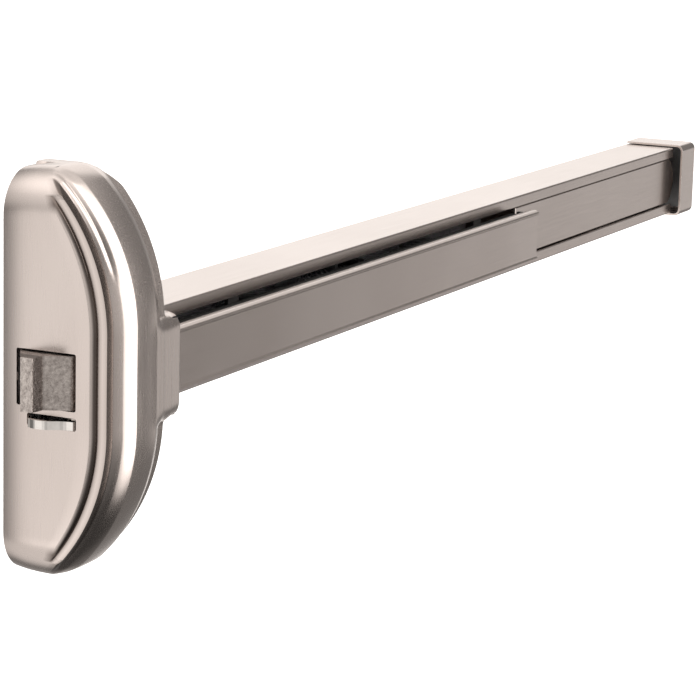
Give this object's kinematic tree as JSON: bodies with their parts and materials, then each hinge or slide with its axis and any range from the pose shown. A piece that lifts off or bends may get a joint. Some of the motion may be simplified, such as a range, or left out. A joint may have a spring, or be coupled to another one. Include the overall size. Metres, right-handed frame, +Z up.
{
  "type": "panic exit bar",
  "caption": "Door-mounted panic exit bar: bowed head with pivoting latch and trigger, long rail with a spring push pad, filler plate and end cap.",
  "frame": {"origin": "on the door face, at the middle of the head chassis and on the rail's centre line", "axes": "+X along the rail away from the latch, -Y out of the door towards the person pushing, +Z up; the latch points to -X"},
  "size_m": [0.9321, 0.0652, 0.2094],
  "materials": {
    "satin_steel": "satin brushed, warm toned",
    "cast_steel": "rough cast, plated, unpainted",
    "polished_steel": "polished",
    "plated_sheet": "zinc plated",
    "plain_steel": "machined",
    "black_plastic": "matte moulded",
    "rubber": "matte",
    "spring_steel": "drawn wire"
  },
  "bodies": {
    "frame": {"base_screw_1": "plain_steel", "base_screw_2": "plain_steel", "base_screw_3": "plain_steel", "cover_screw_lower": "polished_steel", "cover_screw_upper": "polished_steel", "crank_bracket_left": "plated_sheet", "crank_bracket_right": "plated_sheet", "crank_pin_left": "plain_steel", "crank_pin_right": "plain_steel", "end_bracket": "plated_sheet", "end_cap": "satin_steel", "end_cap_screw_lower": "polished_steel", "end_cap_screw_upper": "polished_steel", "filler_clip_left": "black_plastic", "filler_clip_right": "black_plastic", "filler_plate": "satin_steel", "head_chassis": "plated_sheet", "head_cover": "satin_steel", "latch_pin": "plain_steel", "latch_spring": "spring_steel", "pad_bumper_left": "rubber", "pad_bumper_right": "rubber", "rail_base_plate": "plated_sheet", "rail_channel": "satin_steel", "rail_joint_plate": "plated_sheet", "rail_joint_screw_lower": "plain_steel", "rail_joint_screw_upper": "plain_steel", "return_spring": "spring_steel", "rod_guide_left": "black_plastic", "rod_guide_right": "black_plastic", "spring_bracket": "plated_sheet", "trigger_spring": "spring_steel"},
    "pad": {"push_pad": "satin_steel", "pad_core": "black_plastic", "pad_end_plug_left": "black_plastic", "pad_end_plug_right": "black_plastic", "pad_bracket_left": "plated_sheet", "pad_bracket_right": "plated_sheet", "pad_pin_left": "plain_steel", "pad_pin_right": "plain_steel", "pad_guide_left": "black_plastic", "pad_guide_right": "black_plastic"},
    "rod": {"link_rod": "plain_steel", "rod_pin_left": "plain_steel", "rod_pin_right": "plain_steel", "spring_collar": "plated_sheet", "latch_link": "plain_steel", "latch_link_pin": "plain_steel", "link_rivet_1": "plain_steel", "link_rivet_2": "plain_steel"},
    "crank_left": {"bell_crank_left": "plain_steel"},
    "crank_right": {"bell_crank_right": "plain_steel"},
    "latch": {"latch_bolt": "cast_steel"},
    "trigger": {"trigger": "polished_steel"}
  },
  "joints": [
    {"name": "pad_press", "type": "slide", "parent": "frame", "child": "pad", "axis": [0, 1, 0], "range_m": [0, 0.01275], "stiffness_N_per_m": 1500, "springref_m": -0.02},
    {"name": "crank_left_turn", "type": "hinge", "parent": "frame", "child": "crank_left", "pos_m": [0.19, -0.0285, 0], "axis": [0, 0, 1], "range_deg": [-40.5, 0]},
    {"name": "crank_right_turn", "type": "hinge", "parent": "frame", "child": "crank_right", "pos_m": [0.43, -0.0285, 0], "axis": [0, 0, 1], "range_deg": [-40.5, 0]},
    {"name": "rod_slide", "type": "slide", "parent": "frame", "child": "rod", "axis": [1, 0, 0], "range_m": [0, 0.0113], "deforming": ["return_spring"]},
    {"name": "latch_turn", "type": "hinge", "parent": "frame", "child": "latch", "pos_m": [-0.022, -0.038, 0], "axis": [0, 0, 1], "range_deg": [-45.5, 0]},
    {"name": "trigger_turn", "type": "hinge", "parent": "frame", "child": "trigger", "pos_m": [-0.022, -0.038, -0.02], "axis": [0, 0, 1], "range_deg": [-30, 0], "stiffness_Nm_per_rad": 0.05, "springref_deg": 28.65}
  ],
  "couplings": [
    {"joint": "crank_left_turn", "follows": "pad_press", "rad_per_m": -54.75},
    {"joint": "crank_right_turn", "follows": "pad_press", "rad_per_m": -54.75},
    {"joint": "rod_slide", "follows": "pad_press", "ratio": 0.87716},
    {"joint": "latch_turn", "follows": "pad_press", "rad_per_m": -61.59}
  ]
}
